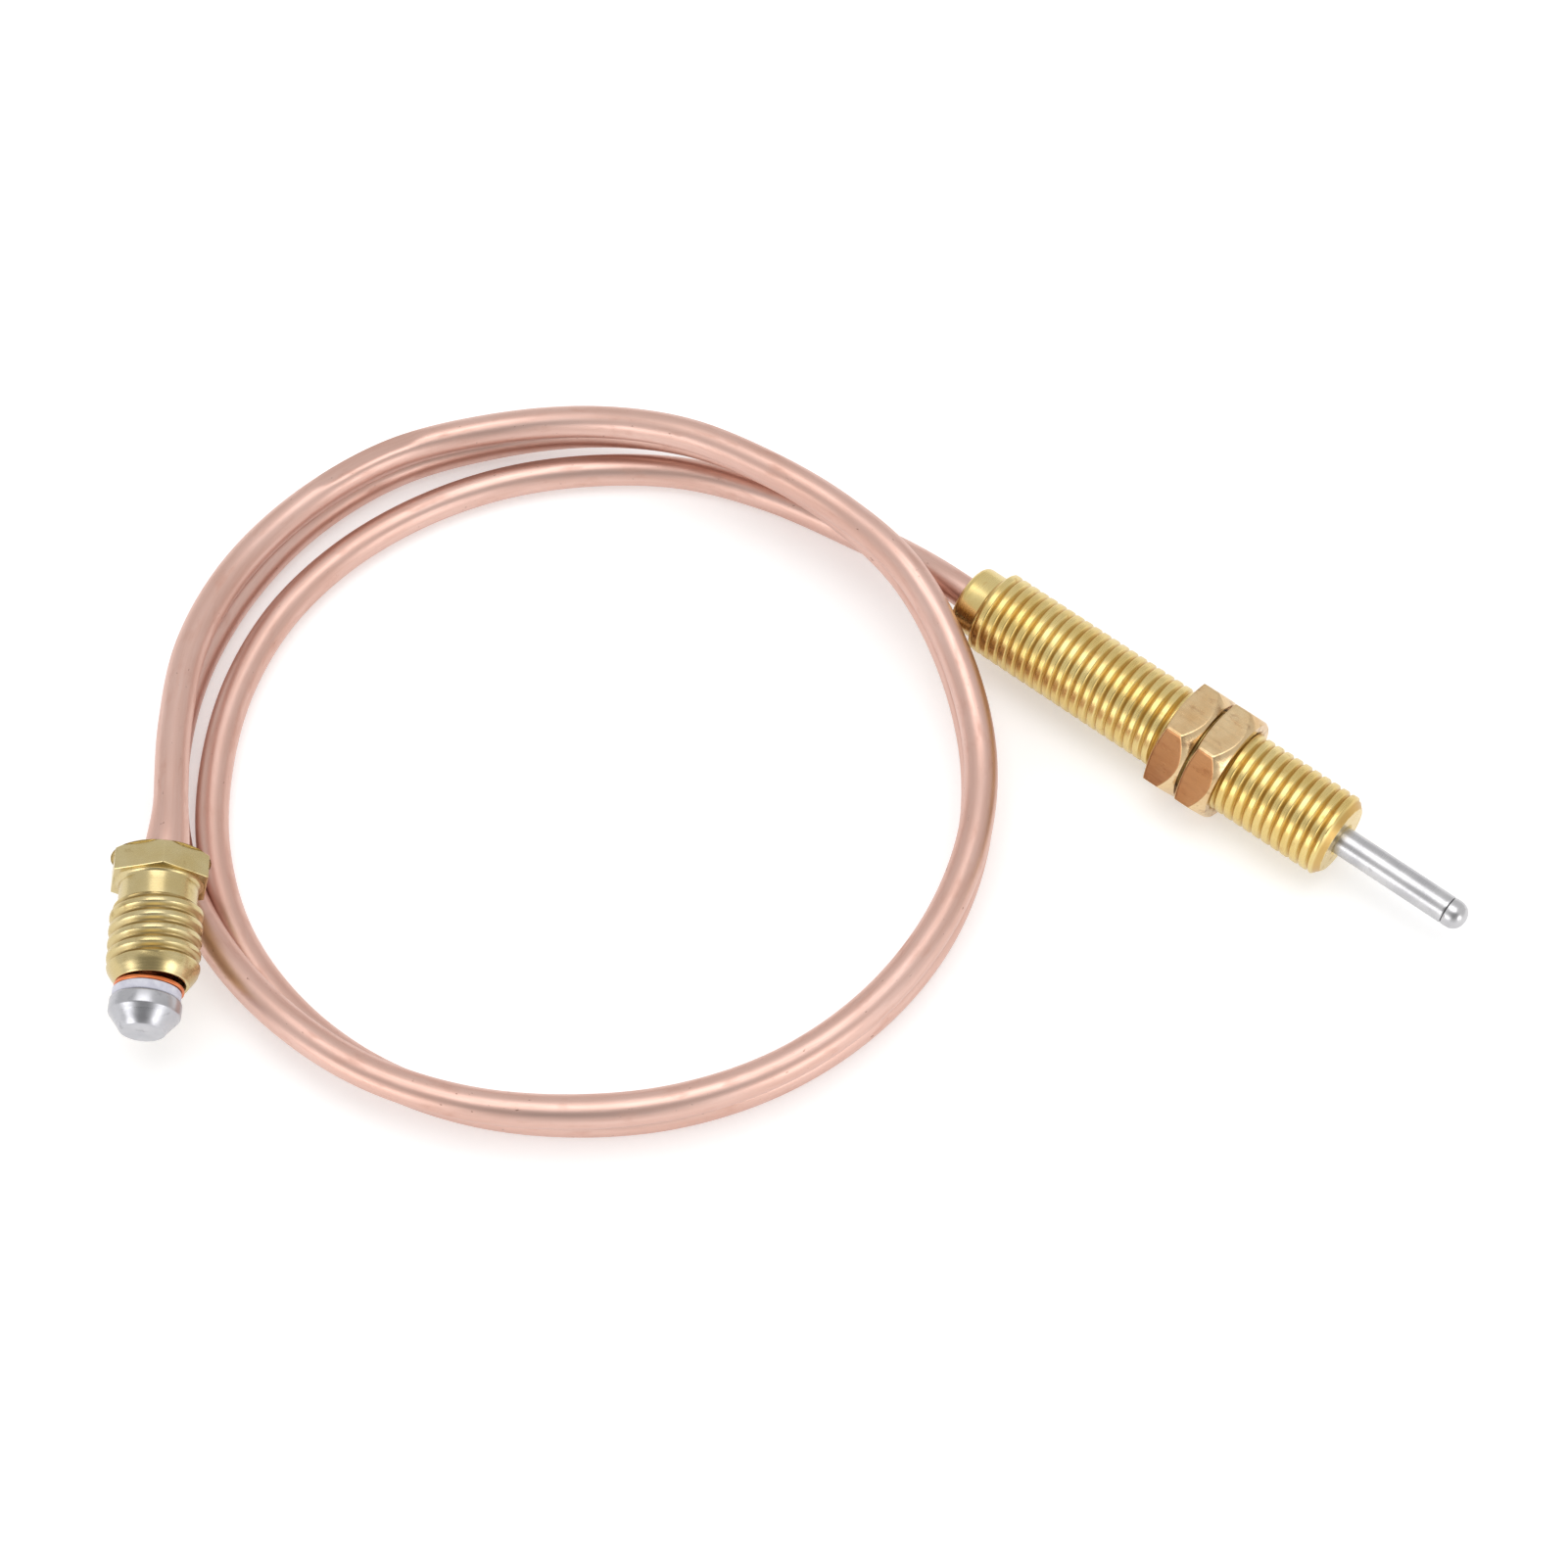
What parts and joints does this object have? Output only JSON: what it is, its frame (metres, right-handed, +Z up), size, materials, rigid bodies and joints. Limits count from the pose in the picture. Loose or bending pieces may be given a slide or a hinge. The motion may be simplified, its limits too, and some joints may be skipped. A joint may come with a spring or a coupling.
{
  "type": "thermocouple",
  "caption": "Gas-appliance thermocouple: threaded brass head with steel hot tip and lock nuts, coiled copper lead, loose union nut and insulated contact.",
  "frame": {"origin": "on the resting surface under the middle of the head", "axes": "+X along the head towards the hot tip, +Z up from the surface that the lock nuts' flats rest on"},
  "size_m": [0.1101, 0.0874, 0.0137],
  "materials": {
    "steel": "satin, heat-dulled",
    "constantan": "drawn",
    "glass_fibre": "braided",
    "yellow_brass": "bright turned",
    "nut_brass": "bright turned",
    "olive_brass": "bright turned",
    "copper": "satin drawn copper",
    "washer_fibre": "matt",
    "tin": "satin tinned"
  },
  "bodies": {
    "head_and_lead": {"hot_junction_weld": "steel", "hot_tip_tube": "steel", "constantan_element": "constantan", "tip_insulation": "glass_fibre", "junction_coupling": "yellow_brass", "splice_crimp": "yellow_brass", "splice_insulation": "glass_fibre", "threaded_sleeve": "yellow_brass", "lead_tube": "copper", "lead_insulation": "glass_fibre", "lead_wire": "copper", "contact_ferrule": "copper", "insulating_washer": "washer_fibre", "contact_button": "tin"},
    "rear_lock_nut": {"lock_nut_rear": "nut_brass"},
    "front_lock_nut": {"lock_nut_front": "nut_brass"},
    "union_nut": {"union_nut": "olive_brass"}
  },
  "joints": [
    {"name": "rear_lock_nut_travel", "type": "slide", "parent": "head_and_lead", "child": "rear_lock_nut", "axis": [1, 0, 0], "range_m": [-0.018, 0]},
    {"name": "front_lock_nut_travel", "type": "slide", "parent": "head_and_lead", "child": "front_lock_nut", "axis": [1, 0, 0], "range_m": [0, 0.01]},
    {"name": "union_nut_spin", "type": "hinge", "parent": "head_and_lead", "child": "union_nut", "pos_m": [-0.05966, -0.07249, 0.00898], "axis": [0.6314, -0.7742, -0.0436], "continuous": true}
  ]
}
